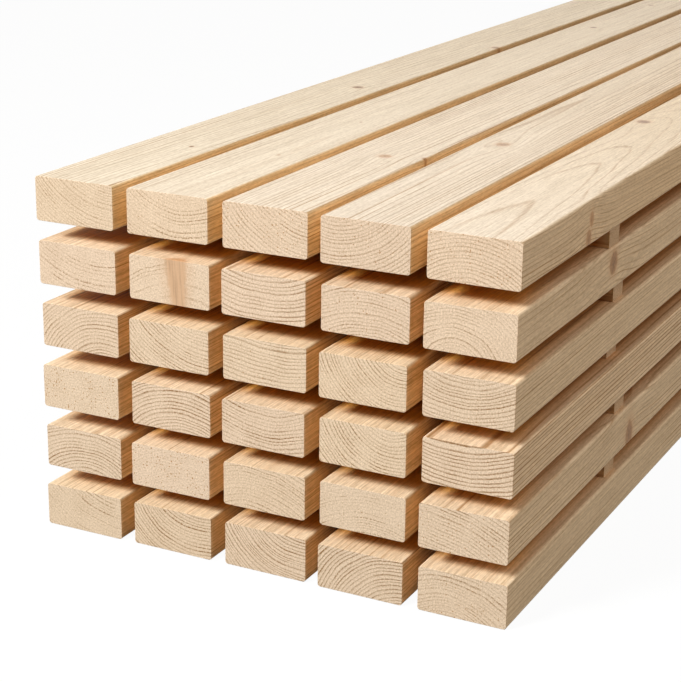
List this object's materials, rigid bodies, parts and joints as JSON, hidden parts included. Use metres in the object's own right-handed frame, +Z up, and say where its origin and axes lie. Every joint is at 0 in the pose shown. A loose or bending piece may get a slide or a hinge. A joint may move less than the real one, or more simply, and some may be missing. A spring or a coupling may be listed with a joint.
{
  "type": "stack of lumber",
  "caption": "Stickered stack of planed softwood boards in even layers, with thin sawn sticks laid across between the layers for air.",
  "frame": {"origin": "on the floor under the middle of the stack", "axes": "+X across the boards, +Y along the boards from the front ends to the back ends, +Z up"},
  "size_m": [0.516, 2.4021, 0.37],
  "materials": {
    "board": "planed softwood, pale cream, fine long grain, sawn ends",
    "sticker": "sawn softwood, dull tan"
  },
  "bodies": {
    "root": {"layer_1_board_1": "board", "layer_1_board_2": "board", "layer_1_board_3": "board", "layer_1_board_4": "board", "layer_1_board_5": "board", "layer_1_sticker_1": "sticker", "layer_1_sticker_2": "sticker", "layer_1_sticker_3": "sticker", "layer_1_sticker_4": "sticker", "layer_2_board_1": "board", "layer_2_board_2": "board", "layer_2_board_3": "board", "layer_2_board_4": "board", "layer_2_board_5": "board", "layer_2_sticker_1": "sticker", "layer_2_sticker_2": "sticker", "layer_2_sticker_3": "sticker", "layer_2_sticker_4": "sticker", "layer_3_board_1": "board", "layer_3_board_2": "board", "layer_3_board_3": "board", "layer_3_board_4": "board", "layer_3_board_5": "board", "layer_3_sticker_1": "sticker", "layer_3_sticker_2": "sticker", "layer_3_sticker_3": "sticker", "layer_3_sticker_4": "sticker", "layer_4_board_1": "board", "layer_4_board_2": "board", "layer_4_board_3": "board", "layer_4_board_4": "board", "layer_4_board_5": "board", "layer_4_sticker_1": "sticker", "layer_4_sticker_2": "sticker", "layer_4_sticker_3": "sticker", "layer_4_sticker_4": "sticker", "layer_5_board_1": "board", "layer_5_board_2": "board", "layer_5_board_3": "board", "layer_5_board_4": "board", "layer_5_board_5": "board", "layer_5_sticker_1": "sticker", "layer_5_sticker_2": "sticker", "layer_5_sticker_3": "sticker", "layer_5_sticker_4": "sticker", "layer_6_board_1": "board", "layer_6_board_2": "board", "layer_6_board_3": "board", "layer_6_board_4": "board", "layer_6_board_5": "board"}
  },
  "joints": []
}
